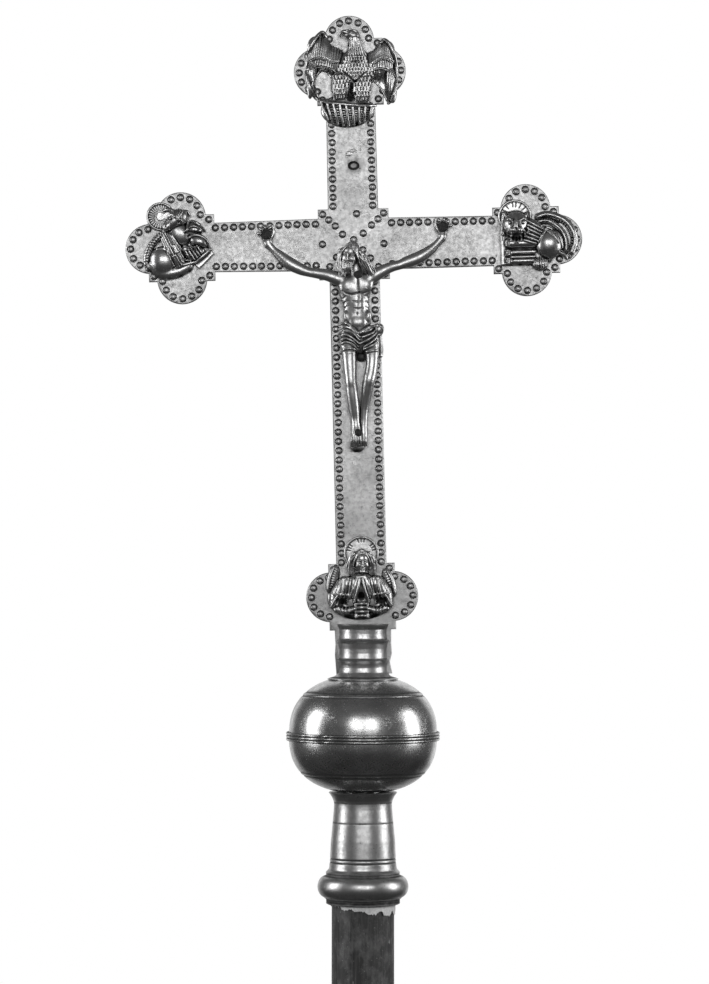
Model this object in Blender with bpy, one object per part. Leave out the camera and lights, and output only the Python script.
"""Processional cross: a flat metal cross with relief ends and a corpus, on a ringed neck, a hollow
knop and a tapered socket that lifts off the top of a wooden staff.

Lengths below are in millimetres and are scaled to metres as each mesh is made. +Z is up, the front
faces -Y, and the origin is the centre of the staff's lower end. Pieces of the cross itself are laid
out in the cross's own plane: x across, z up, measured from the middle of the crossing. That plane
leans a little in its socket, as an empty does here.
"""

import math

import bmesh
import bpy
from mathutils import Matrix, Vector

MM = 0.001
GAP = 0.3  # air left between pieces that touch

# Staff and what wedges it
STAFF_RADIUS = 18.2
MOUTH_Z = 66.0  # the socket's mouth, above the staff's cut end
SHOULDER_Z = MOUTH_Z + 7.6
TENON_FOOT_RADIUS = 17.2
TENON_TOP_RADIUS = 14.5
TENON_TOP_Z = 121.0
PACKING_THICKNESS = 0.6
PACKING_DROP = 6.5  # how far the packing hangs out of the mouth

# Socket
SOCKET_TOP_Z = 131.0
SOCKET_TOP_RADIUS = 19.9
TORUS_RADIUS = 26.4
TORUS_Z = 76.2
TORUS_ROOT_RADIUS = 21.8
TORUS_HALF_HEIGHT = 5.9
SOCKET_FLOOR_Z = 127.0
CORE_RADIUS = 12.0
CORE_WALL = 1.8

# Knop
KNOP_RADIUS = 43.0
KNOP_Z = 163.4
KNOP_UPPER_HEIGHT = 35.0
KNOP_LOWER_HEIGHT = 33.0
KNOP_POWER = 2.4  # exponent of the superellipse that the bowls follow
KNOP_WALL = 1.6
GIRDLE_RADIUS = 44.6
GIRDLE_HALF_HEIGHT = 2.6

# Neck
NECK_FOOT_Z = 196.2
NECK_SILL = 1.9  # solid ring left under the neck's slot
NECK_TOP_Z = 228.6
NECK_RADIUS = 15.3
NECK_HOLLOW_RADIUS = 13.9
NECK_FLANGE_RADIUS = 20.6

# Cross plate
LEAN = math.radians(1.35)
PLATE_THICKNESS = 4.0
PLATE_CHAMFER = 0.5
ARM_HALF_WIDTH = 14.5
CROSSING_HALF = 20.5
TERMINAL_HALF = 19.3
LOBE_RADIUS = 14.5
LOBE_OFFSET = 18.0
ARM_LENGTH = 100.0  # from the crossing to the middle of each upper terminal
SHAFT_LENGTH = 204.5
TANG_HALF_WIDTH = 8.5
TANG_LENGTH = 42.0
SHOULDER_HALF_WIDTH = 16.6  # the tang's upper part shows in slots at both sides of the neck
SHOULDER_LENGTH = 25.8
PLATE_FOOT_Z = 225.0
FRONT = -PLATE_THICKNESS / 2
BACK = PLATE_THICKNESS / 2

# Fasteners: shank radius, then the hole they pass through
SHANK = 1.0
HOLE = 1.35
RELIEF_LUG_DEPTH = 3.0

TURN_STEPS = 24
ROUND_STEPS = 8
ARC_STEPS = 8

RELIEF_LUGS = {
    "eagle": ((-5.0, 98.0), (6.0, 98.0)),
    "ox": ((-104.0, -3.0), (-94.0, 1.0)),
    "lion": ((96.0, -1.0), (109.0, -2.0)),
    "angel": ((-8.0, -208.0), (8.0, -208.0)),
}
# Fasteners of the corpus: place on the plate, head radius, height of the head's seat above the plate
CORPUS_FASTENERS = {
    "hand_nail_left": ((-50.5, 6.4), 3.1, 4.2),
    "hand_nail_right": ((51.7, 8.4), 3.1, 4.2),
    "foot_nail": ((-0.1, -109.6), 2.2, 8.4),
    "chest_rivet": ((1.9, -18.3), 2.5, 9.6),
}
TITULUS_RIVET = (0.9, 45.5)

# Limbs of the corpus as chains of (x, height above the plate, z, radius)
CORPUS_LIMBS = (
    ((-51.5, 2.2, 11.0, 2.0), (-50.5, 2.2, 5.5, 3.2), (-46.5, 2.6, -3.0, 2.1), (-38.7, 3.4, -9.8, 2.8),
     (-31.3, 4.2, -14.1, 2.4), (-23.9, 5.0, -16.4, 2.6), (-14.0, 5.6, -18.6, 3.4)),
    ((52.0, 2.2, 13.0, 2.0), (51.7, 2.2, 7.5, 3.2), (47.5, 2.6, -0.6, 2.1), (39.3, 3.4, -7.3, 2.6),
     (31.7, 4.2, -10.9, 2.9), (24.3, 5.0, -13.2, 2.6), (14.5, 5.6, -17.0, 3.4)),
    ((-8.0, 5.6, -21.0, 4.2), (-3.6, 6.0, -27.0, 5.6), (-2.6, 5.6, -38.0, 4.6), (-4.5, 6.0, -50.0, 6.0)),
    ((9.5, 5.6, -20.5, 4.2), (4.6, 6.0, -27.0, 5.6), (3.8, 5.6, -38.0, 4.6), (6.5, 6.0, -50.0, 6.4)),
    ((1.0, 6.4, -18.0, 3.6), (0.0, 8.6, -8.0, 6.6), (0.8, 7.6, -4.4, 5.4)),
    ((-3.6, 8.6, -11.0, 3.6), (-1.8, 9.4, -15.4, 2.4)),
    ((6.0, 7.0, -10.0, 4.0), (9.6, 6.6, -17.5, 2.6)),
    ((12.5, 5.4, -49.0, 3.0), (14.6, 4.4, -57.0, 2.4), (15.2, 3.4, -64.0, 1.6)),
    ((-4.4, 6.4, -56.0, 5.6), (-4.4, 6.6, -63.0, 4.2), (-3.5, 7.6, -73.6, 3.5), (-3.4, 6.2, -84.6, 3.7),
     (-2.1, 4.8, -96.0, 3.0), (-1.6, 4.0, -104.9, 2.2), (-1.4, 5.6, -112.5, 2.6), (-1.2, 6.2, -117.0, 2.2)),
    ((7.4, 6.4, -56.0, 5.6), (8.2, 6.6, -63.7, 4.0), (7.7, 7.8, -73.9, 3.3), (6.4, 6.4, -84.9, 3.4),
     (4.0, 5.0, -95.2, 2.8), (2.9, 3.6, -102.4, 2.2), (1.8, 3.4, -110.0, 2.6), (1.6, 4.2, -116.5, 2.2)),
)

# Relief masses as (x, height above the plate, z, half-sizes x / y / z, turn in the plate's plane)
EAGLE_BLOBS = (
    (0.6, 3.0, 99.5, (9.0, 6.0, 15.0), 0), (-0.5, 4.6, 118.0, (5.0, 4.6, 7.5), 20),
    (-5.2, 5.6, 121.0, (3.6, 2.8, 2.4), 25), (-15.5, 2.0, 110.0, (7.0, 4.0, 14.0), -28),
    (-22.0, 1.6, 97.0, (4.0, 3.4, 12.0), 12), (18.5, 2.0, 107.0, (7.5, 4.0, 13.0), 30),
    (24.5, 1.6, 95.0, (4.2, 3.4, 13.0), -4), (0.2, 2.2, 79.5, (16.5, 6.0, 8.5), 0),
    (-1.0, 2.0, 74.0, (10.5, 5.6, 7.0), 0), (0.0, 3.0, 90.0, (12.0, 5.6, 9.0), 0),
)
OX_BLOBS = (
    (-111.5, 1.0, 20.0, (9.0, 2.6, 9.0), 0), (-102.5, 5.2, 18.0, (6.6, 4.8, 4.8), 30),
    (-107.0, 3.4, -4.5, (12.5, 8.0, 12.5), 30), (-97.0, 3.0, 2.0, (11.5, 6.2, 6.5), 42),
    (-88.0, 3.0, 8.0, (7.0, 5.4, 8.0), 25), (-92.0, 2.2, -2.5, (9.5, 4.6, 5.0), 38),
    (-116.0, 1.6, -2.0, (3.0, 3.4, 14.0), 12), (-84.0, 2.0, 1.0, (5.5, 3.6, 6.0), 30),
    (-105.0, 3.4, 9.0, (6.5, 5.0, 9.0), 0),
)
LION_BLOBS = (
    (95.0, 0.8, 13.0, (12.5, 2.6, 14.0), 0), (94.5, 4.4, 6.5, (10.0, 6.4, 11.5), 0),
    (96.5, 3.0, -8.5, (13.0, 5.2, 6.5), 0), (113.0, 4.0, -2.5, (11.0, 8.4, 12.0), 10),
    (109.0, 2.4, -16.0, (7.5, 4.8, 4.6), 0), (119.0, 1.6, 9.0, (12.0, 3.4, 3.8), -38),
    (125.6, 1.6, -3.0, (3.2, 3.0, 10.0), 0), (104.0, 3.0, -1.0, (8.0, 5.0, 9.0), 0),
    (88.0, 1.4, -4.0, (4.6, 3.2, 12.0), 0),
)
ANGEL_BLOBS = (
    (0.6, 0.8, -181.5, (11.0, 2.4, 11.0), 0), (0.6, 4.8, -184.5, (5.8, 6.0, 7.4), 0),
    (0.6, 2.6, -203.5, (18.5, 6.2, 14.0), 0), (-15.0, 1.4, -193.0, (4.6, 3.0, 7.6), -14),
    (16.0, 1.4, -193.0, (4.6, 3.0, 8.4), 20), (0.6, 4.6, -208.0, (9.0, 5.6, 7.0), 0),
    (0.6, 3.2, -193.0, (9.0, 5.0, 6.0), 0),
)

COLOURS = {
    "metal": ((0.52, 0.52, 0.51, 1), 0.30, 1.0),
    "iron": ((0.045, 0.042, 0.040, 1), 0.75, 0.6),
    "wood": ((0.035, 0.034, 0.033, 1), 0.62, 0.0),
    "packing": ((0.78, 0.77, 0.74, 1), 0.9, 0.0),
}


def clear_scene():
    for obj in list(bpy.data.objects):
        bpy.data.objects.remove(obj)


def make_materials():
    made = {}
    for name, (colour, roughness, metallic) in COLOURS.items():
        material = bpy.data.materials.new(name)
        material.use_nodes = True
        shader = material.node_tree.nodes["Principled BSDF"]
        shader.inputs["Base Color"].default_value = colour
        shader.inputs["Roughness"].default_value = roughness
        shader.inputs["Metallic"].default_value = metallic
        made[name] = material
    return made


def add_object(name, bm, material=None, parent=None, smooth=True):
    """Turns a bmesh in millimetres into an object in metres."""
    bmesh.ops.recalc_face_normals(bm, faces=bm.faces)
    bmesh.ops.scale(bm, vec=(MM, MM, MM), verts=bm.verts)
    mesh = bpy.data.meshes.new(name)
    bm.to_mesh(mesh)
    bm.free()
    if smooth:
        mesh.shade_smooth()
        mesh.set_sharp_from_angle(angle=math.radians(35))
    obj = bpy.data.objects.new(name, mesh)
    bpy.context.scene.collection.objects.link(obj)
    if material:
        mesh.materials.append(material)
    obj.parent = parent
    return obj


def as_cutter(obj):
    obj.hide_render = True
    obj.display_type = "WIRE"
    return obj


def cut(obj, cutter):
    modifier = obj.modifiers.new("cut_" + cutter.name, "BOOLEAN")
    modifier.operation = "DIFFERENCE"
    modifier.solver = "EXACT"
    modifier.object = cutter


def turned(profile, steps=TURN_STEPS):
    """A closed body turned about Z from a loop of (radius, z) points."""
    bm = bmesh.new()
    verts = [bm.verts.new((radius, 0, z)) for radius, z in profile]
    edges = [bm.edges.new((a, b)) for a, b in zip(verts, verts[1:] + verts[:1])
             if a.co.x > 0 or b.co.x > 0]
    bmesh.ops.spin(bm, geom=verts + edges, cent=(0, 0, 0), axis=(0, 0, 1),
                   angle=math.tau, steps=steps, use_merge=True)
    bmesh.ops.remove_doubles(bm, verts=bm.verts, dist=1e-5)
    return bm


def arc(centre, radius_x, radius_z, start, end, steps):
    """Points on an ellipse arc, angles in degrees, both ends included."""
    points = []
    for i in range(steps + 1):
        angle = math.radians(start + (end - start) * i / steps)
        points.append((centre[0] + radius_x * math.cos(angle), centre[1] + radius_z * math.sin(angle)))
    return points


# ---- staff, packing and turned metal pieces -------------------------------------------------

def make_staff(materials):
    profile = [(0, 0), (STAFF_RADIUS, 0), (STAFF_RADIUS, SHOULDER_Z), (TENON_FOOT_RADIUS, SHOULDER_Z),
               (TENON_TOP_RADIUS, TENON_TOP_Z), (0, TENON_TOP_Z)]
    add_object("staff", turned(profile), materials["wood"])


def make_packing(materials):
    inner = STAFF_RADIUS + GAP
    outer = inner + PACKING_THICKNESS
    low = MOUTH_Z - PACKING_DROP
    high = SHOULDER_Z - 0.4
    profile = [(inner, low), (outer, low), (outer, high), (inner, high)]
    add_object("staff_packing", turned(profile), materials["packing"])


def make_socket(materials):
    """Tapered tube with a moulded foot ring, bored to take the staff's tenon, closed by a floor that
    holds the core tube."""
    taper = (TENON_TOP_RADIUS - TENON_FOOT_RADIUS) / (TENON_TOP_Z - SHOULDER_Z)
    bore_foot = TENON_FOOT_RADIUS + 0.4
    bore_top = bore_foot + taper * (SOCKET_FLOOR_Z - SHOULDER_Z)
    counterbore = STAFF_RADIUS + GAP + PACKING_THICKNESS + GAP
    outside = [(21.2, MOUTH_Z), (21.6, MOUTH_Z + 2.9)]
    outside += arc((TORUS_ROOT_RADIUS, TORUS_Z), TORUS_RADIUS - TORUS_ROOT_RADIUS, TORUS_HALF_HEIGHT, -80, 80, 6)
    outside += [(21.4, 82.8), (21.4, 85.0), (19.8, 86.4), (19.2, 91.4), (18.6, 103.1), (17.5, 114.7),
                (16.8, 120.0), (16.9, 123.6), (17.7, 126.8), (SOCKET_TOP_RADIUS, SOCKET_TOP_Z)]
    hole = CORE_RADIUS + GAP
    inside = [(hole, SOCKET_TOP_Z), (hole, SOCKET_FLOOR_Z), (bore_top, SOCKET_FLOOR_Z),
              (bore_foot, SHOULDER_Z + GAP), (counterbore, SHOULDER_Z + GAP), (counterbore, MOUTH_Z)]
    add_object("socket", turned(outside + inside), materials["metal"])


def make_core_tube(materials):
    """Inner tube that carries the neck through the hollow knop and takes the plate's tang."""
    inner = CORE_RADIUS - CORE_WALL
    low = SOCKET_FLOOR_Z + 0.2
    high = NECK_FOOT_Z + NECK_SILL - GAP
    profile = [(inner, low), (CORE_RADIUS, low), (CORE_RADIUS, high), (inner, high)]
    add_object("core_tube", turned(profile), materials["metal"])


def knop_radius(rise, height, wall=0.0):
    share = min(1.0, rise / (height - wall))
    return (KNOP_RADIUS - wall) * (1 - share ** KNOP_POWER) ** (1 / KNOP_POWER)


def bowl_profile(direction, height, lip_rise, lip_radius):
    """Loop of one bowl, from the seam outwards to the lip and back inside."""
    outside, inside = [], []
    steps = 7
    for i in range(steps):
        rise = lip_rise * math.sin(math.pi / 2 * i / steps)
        outside.append((knop_radius(rise, height), rise))
    outside.append((lip_radius, lip_rise))
    inner_lip = lip_rise - KNOP_WALL
    inner_steps = 5
    for i in range(inner_steps + 1):
        rise = inner_lip * math.cos(math.pi / 2 * i / inner_steps)
        inside.append((knop_radius(rise, height, KNOP_WALL), rise))
    seam = GAP / 2
    hole = CORE_RADIUS + GAP
    rim = [(hole, lip_rise), (hole, inner_lip)]
    loop = outside + rim + [p for p in inside if p[0] > hole]
    return [(radius, KNOP_Z + direction * (rise + seam)) for radius, rise in loop]


def make_knop(materials):
    upper_rise = NECK_FOOT_Z - GAP - KNOP_Z - GAP
    lower_rise = KNOP_Z - SOCKET_TOP_Z - GAP - GAP
    upper = bowl_profile(1, KNOP_UPPER_HEIGHT, upper_rise, knop_radius(upper_rise, KNOP_UPPER_HEIGHT))
    lower = bowl_profile(-1, KNOP_LOWER_HEIGHT, lower_rise, SOCKET_TOP_RADIUS)
    add_object("knop_upper_bowl", turned(upper), materials["metal"])
    add_object("knop_lower_bowl", turned(lower), materials["metal"])


def make_girdle(materials):
    """Reeded band over the seam of the two bowls."""
    inner = KNOP_RADIUS + GAP
    reeds = 3
    reed_height = 2 * GIRDLE_HALF_HEIGHT / reeds
    profile = [(inner, -GIRDLE_HALF_HEIGHT)]
    for i in range(reeds):
        middle = -GIRDLE_HALF_HEIGHT + reed_height * (i + 0.5)
        profile += [(GIRDLE_RADIUS - 0.6, middle - reed_height * 0.45), (GIRDLE_RADIUS, middle),
                    (GIRDLE_RADIUS - 0.6, middle + reed_height * 0.45)]
    profile.append((inner, GIRDLE_HALF_HEIGHT))
    add_object("knop_girdle", turned([(r, z + KNOP_Z) for r, z in profile]), materials["metal"])


def make_neck(materials):
    """Ringed collar, slotted across from its top down to its sill for the foot of the plate."""
    outside = [(NECK_FLANGE_RADIUS, NECK_FOOT_Z), (16.6, NECK_FOOT_Z + 2.2), (14.6, NECK_FOOT_Z + 4.6)]
    ridges = (NECK_FOOT_Z + 11.4, NECK_FOOT_Z + 22.8)
    for ridge in ridges:
        outside += [(NECK_HOLLOW_RADIUS, ridge - 3.6), (NECK_RADIUS - 0.4, ridge - 0.9), (NECK_RADIUS, ridge),
                    (NECK_HOLLOW_RADIUS + 0.2, ridge + 1.2)]
    outside += [(NECK_HOLLOW_RADIUS, NECK_TOP_Z - 5.6), (NECK_RADIUS, NECK_TOP_Z)]
    hole = CORE_RADIUS + GAP
    sill_z = NECK_FOOT_Z + NECK_SILL
    inside = [(hole, NECK_TOP_Z), (hole, NECK_FOOT_Z)]
    neck = add_object("neck", turned(outside + inside), materials["metal"])
    slot = bmesh.new()
    bmesh.ops.create_cube(slot, size=1)
    slot_height = 40
    bmesh.ops.scale(slot, vec=(60, PLATE_THICKNESS + 2 * GAP, slot_height), verts=slot.verts)
    bmesh.ops.translate(slot, vec=(0, 0, sill_z + slot_height / 2), verts=slot.verts)
    cut(neck, as_cutter(add_object("neck_slot_cutter", slot, smooth=False)))


# ---- cross plate ----------------------------------------------------------------------------

def cross_frame():
    """Empty at the middle of the crossing. Its axes are those of the leaning plate."""
    crossing_height = SHAFT_LENGTH + TERMINAL_HALF
    frame = bpy.data.objects.new("cross_frame", None)
    bpy.context.scene.collection.objects.link(frame)
    frame.rotation_euler = (0, -LEAN, 0)
    frame.location = (-crossing_height * math.sin(LEAN) * MM, 0,
                      (PLATE_FOOT_Z + crossing_height * math.cos(LEAN)) * MM)
    bpy.context.view_layer.update()
    return frame


def lobe(centre, facing):
    """A terminal's round lobe, from ear to ear, counter-clockwise. facing is its direction in degrees."""
    chord = TERMINAL_HALF - LOBE_OFFSET
    reach = 90 - math.degrees(math.asin(chord / LOBE_RADIUS))
    direction = math.radians(facing)
    middle = (centre[0] + LOBE_OFFSET * math.cos(direction), centre[1] + LOBE_OFFSET * math.sin(direction))
    return arc(middle, LOBE_RADIUS, LOBE_RADIUS, facing - reach, facing + reach, ARC_STEPS)


def arm_outline(length, is_foot=False):
    """One arm pointing along +u, from its lower crossing ear counter-clockwise to its upper one."""
    ear = TERMINAL_HALF
    near, far = length - ear, length + ear
    path = [(CROSSING_HALF, -CROSSING_HALF), (CROSSING_HALF, -ARM_HALF_WIDTH), (near, -ARM_HALF_WIDTH), (near, -ear)]
    path += lobe((length, 0), -90)
    path.append((far, -ear))
    if is_foot:
        step, tip = far + SHOULDER_LENGTH, far + TANG_LENGTH
        path += [(far, -SHOULDER_HALF_WIDTH), (step, -SHOULDER_HALF_WIDTH), (step, -TANG_HALF_WIDTH),
                 (tip, -TANG_HALF_WIDTH), (tip, TANG_HALF_WIDTH), (step, TANG_HALF_WIDTH),
                 (step, SHOULDER_HALF_WIDTH), (far, SHOULDER_HALF_WIDTH)]
    else:
        path += lobe((length, 0), 0)
    path.append((far, ear))
    path += lobe((length, 0), 90)
    path += [(near, ear), (near, ARM_HALF_WIDTH), (CROSSING_HALF, ARM_HALF_WIDTH)]
    return path


def plate_outline():
    outline = []
    for turn, length in ((0, ARM_LENGTH), (90, ARM_LENGTH), (180, ARM_LENGTH), (270, SHAFT_LENGTH)):
        spin = Matrix.Rotation(math.radians(turn), 2)
        outline += [spin @ Vector(p) for p in arm_outline(length, is_foot=turn == 270)]
    return outline


def rods(places, radius, low, high):
    """One mesh of rods along Y, for cutting holes. low and high are Y limits."""
    bm = bmesh.new()
    for x, z in places:
        made = bmesh.ops.create_cone(bm, cap_ends=True, segments=ROUND_STEPS, radius1=radius, radius2=radius,
                                     depth=high - low)
        bmesh.ops.rotate(bm, verts=made["verts"], cent=(0, 0, 0), matrix=Matrix.Rotation(math.pi / 2, 3, "X"))
        bmesh.ops.translate(bm, verts=made["verts"], vec=(x, (low + high) / 2, z))
    return bm


def make_plate(materials, frame):
    bm = bmesh.new()
    face = bm.faces.new([bm.verts.new((x, FRONT + PLATE_CHAMFER, z)) for x, z in plate_outline()])
    face.normal_update()
    if face.normal.y > 0:
        face.normal_flip()
    grown = bmesh.ops.extrude_face_region(bm, geom=[face], use_keep_orig=True)
    back = [f for f in grown["geom"] if isinstance(f, bmesh.types.BMFace)][0]
    depth = PLATE_THICKNESS - 2 * PLATE_CHAMFER
    bmesh.ops.translate(bm, verts=list(back.verts), vec=(0, depth, 0))
    bmesh.ops.recalc_face_normals(bm, faces=bm.faces)
    for flat in (face, back):
        bmesh.ops.inset_region(bm, faces=[flat], thickness=PLATE_CHAMFER, depth=PLATE_CHAMFER, use_even_offset=True)
    plate = add_object("cross_plate", bm, materials["metal"], frame)
    places = [spot for lugs in RELIEF_LUGS.values() for spot in lugs]
    places += [fastener[0] for fastener in CORPUS_FASTENERS.values()] + [TITULUS_RIVET]
    holes = add_object("plate_holes_cutter", rods(places, HOLE, FRONT - 3, BACK + 3), parent=frame, smooth=False)
    cut(plate, as_cutter(holes))


# ---- corpus, reliefs and their fasteners ----------------------------------------------------

def add_ball(bm, centre, radii, turn=0.0):
    made = bmesh.ops.create_icosphere(bm, subdivisions=2, radius=1)
    matrix = Matrix.Translation(centre) @ Matrix.Rotation(math.radians(turn), 4, "Y") @ Matrix.Diagonal((*radii, 1))
    bmesh.ops.transform(bm, matrix=matrix, verts=made["verts"])


def add_limb(bm, start, end, radius_start, radius_end):
    axis = end - start
    made = bmesh.ops.create_cone(bm, cap_ends=True, segments=ROUND_STEPS, radius1=radius_start,
                                 radius2=radius_end, depth=axis.length)
    turn = axis.to_track_quat("Z", "Y").to_matrix().to_4x4()
    bmesh.ops.transform(bm, matrix=Matrix.Translation((start + end) / 2) @ turn, verts=made["verts"])


def fuse(obj, voxel, keep):
    """Melts overlapping lumps into one skin and thins its faces."""
    remesh = obj.modifiers.new("melt", "REMESH")
    remesh.mode = "VOXEL"
    remesh.voxel_size = voxel * MM
    thin = obj.modifiers.new("thin", "DECIMATE")
    thin.ratio = keep


def slab_cutter(name, frame):
    """Everything behind the plane that the castings rest on."""
    bm = bmesh.new()
    bmesh.ops.create_cube(bm, size=1)
    bmesh.ops.scale(bm, vec=(600, 30, 900), verts=bm.verts)
    bmesh.ops.translate(bm, vec=(0, FRONT - GAP + 15, -60), verts=bm.verts)
    return as_cutter(add_object(name, bm, parent=frame, smooth=False))


def make_corpus(materials, frame, behind):
    bm = bmesh.new()
    for chain in CORPUS_LIMBS:
        points = [(Vector((x, FRONT - height, z)), radius) for x, height, z, radius in chain]
        for centre, radius in points:
            add_ball(bm, centre, (radius, radius, radius))
        for (start, r0), (end, r1) in zip(points, points[1:]):
            add_limb(bm, start, end, r0, r1)
    corpus = add_object("corpus", bm, materials["metal"], frame)
    fuse(corpus, voxel=1.3, keep=0.1)
    cut(corpus, behind)
    places = [fastener[0] for fastener in CORPUS_FASTENERS.values()]
    holes = add_object("corpus_holes_cutter", rods(places, HOLE, FRONT - 25, FRONT + 3), parent=frame, smooth=False)
    cut(corpus, as_cutter(holes))
    seats = bmesh.new()
    for (x, z), head, seat in CORPUS_FASTENERS.values():
        made = bmesh.ops.create_cone(seats, cap_ends=True, segments=ROUND_STEPS, radius1=head + 0.5,
                                     radius2=head + 0.5, depth=20)
        bmesh.ops.rotate(seats, verts=made["verts"], cent=(0, 0, 0), matrix=Matrix.Rotation(math.pi / 2, 3, "X"))
        bmesh.ops.translate(seats, verts=made["verts"], vec=(x, FRONT - seat - 10, z))
    cut(corpus, as_cutter(add_object("corpus_seats_cutter", seats, parent=frame, smooth=False)))


def make_relief(name, blobs, materials, frame, behind):
    bm = bmesh.new()
    for x, height, z, radii, turn in blobs:
        add_ball(bm, Vector((x, FRONT - height, z)), radii, turn)
    relief = add_object(name + "_relief", bm, materials["metal"], frame)
    fuse(relief, voxel=1.4, keep=0.09)
    cut(relief, behind)
    sockets = rods(RELIEF_LUGS[name], HOLE, FRONT - RELIEF_LUG_DEPTH - 2 * GAP, FRONT + 3)
    cut(relief, as_cutter(add_object(name + "_lug_cutter", sockets, parent=frame, smooth=False)))


def along_y(bm, x, z):
    """Lays a body turned about Z along Y, its +Z towards the back of the plate, over a place on it."""
    bmesh.ops.rotate(bm, verts=bm.verts, cent=(0, 0, 0), matrix=Matrix.Rotation(-math.pi / 2, 3, "X"))
    bmesh.ops.translate(bm, verts=bm.verts, vec=(x, 0, z))


def dome(radius, base, height, outwards):
    """Rim to crown of a low round head, as (radius, z) points. outwards is -1 in front and 1 behind."""
    return [(radius, base), (radius * 0.8, base + outwards * height * 0.7), (0, base + outwards * height)]


def make_fastener(name, place, head, seat, materials, frame, material):
    """Nail or rivet through the corpus and the plate, closed by a hammered tail behind."""
    front = dome(head, FRONT - seat - GAP, 1.5, -1)
    tail = dome(2.3, BACK + GAP, 1.1, 1)
    profile = front[::-1] + [(SHANK, FRONT - seat - GAP), (SHANK, BACK + GAP)] + tail
    bm = turned(profile, ROUND_STEPS)
    along_y(bm, *place)
    add_object(name, bm, materials[material], frame)


def make_lug(name, place, materials, frame):
    """Rivet that holds a relief: blind in the casting, hammered over behind the plate."""
    tip = FRONT - RELIEF_LUG_DEPTH
    profile = [(0, tip), (SHANK, tip), (SHANK, BACK + GAP)] + dome(2.3, BACK + GAP, 1.1, 1)
    bm = turned(profile, ROUND_STEPS)
    along_y(bm, *place)
    add_object(name, bm, materials["metal"], frame)


def make_titulus_rivet(materials, frame):
    """Stump of the rivet that once held a title plate, worn flush in front."""
    tip = FRONT + 0.5
    profile = [(0, tip), (SHANK, tip), (SHANK, BACK + GAP)] + dome(2.3, BACK + GAP, 1.1, 1)
    bm = turned(profile, ROUND_STEPS)
    along_y(bm, *TITULUS_RIVET)
    add_object("titulus_rivet", bm, materials["metal"], frame)


def main():
    clear_scene()
    materials = make_materials()
    make_staff(materials)
    make_packing(materials)
    make_socket(materials)
    make_core_tube(materials)
    make_knop(materials)
    make_girdle(materials)
    make_neck(materials)
    frame = cross_frame()
    make_plate(materials, frame)
    behind = slab_cutter("behind_castings_cutter", frame)
    make_corpus(materials, frame, behind)
    reliefs = {"eagle": EAGLE_BLOBS, "ox": OX_BLOBS, "lion": LION_BLOBS, "angel": ANGEL_BLOBS}
    for name, blobs in reliefs.items():
        make_relief(name, blobs, materials, frame, behind)
        for side, place in zip(("left", "right"), RELIEF_LUGS[name]):
            make_lug(f"{name}_rivet_{side}", place, materials, frame)
    for name, (place, head, seat) in CORPUS_FASTENERS.items():
        make_fastener(name, place, head, seat, materials, frame, "iron")
    make_titulus_rivet(materials, frame)


main()
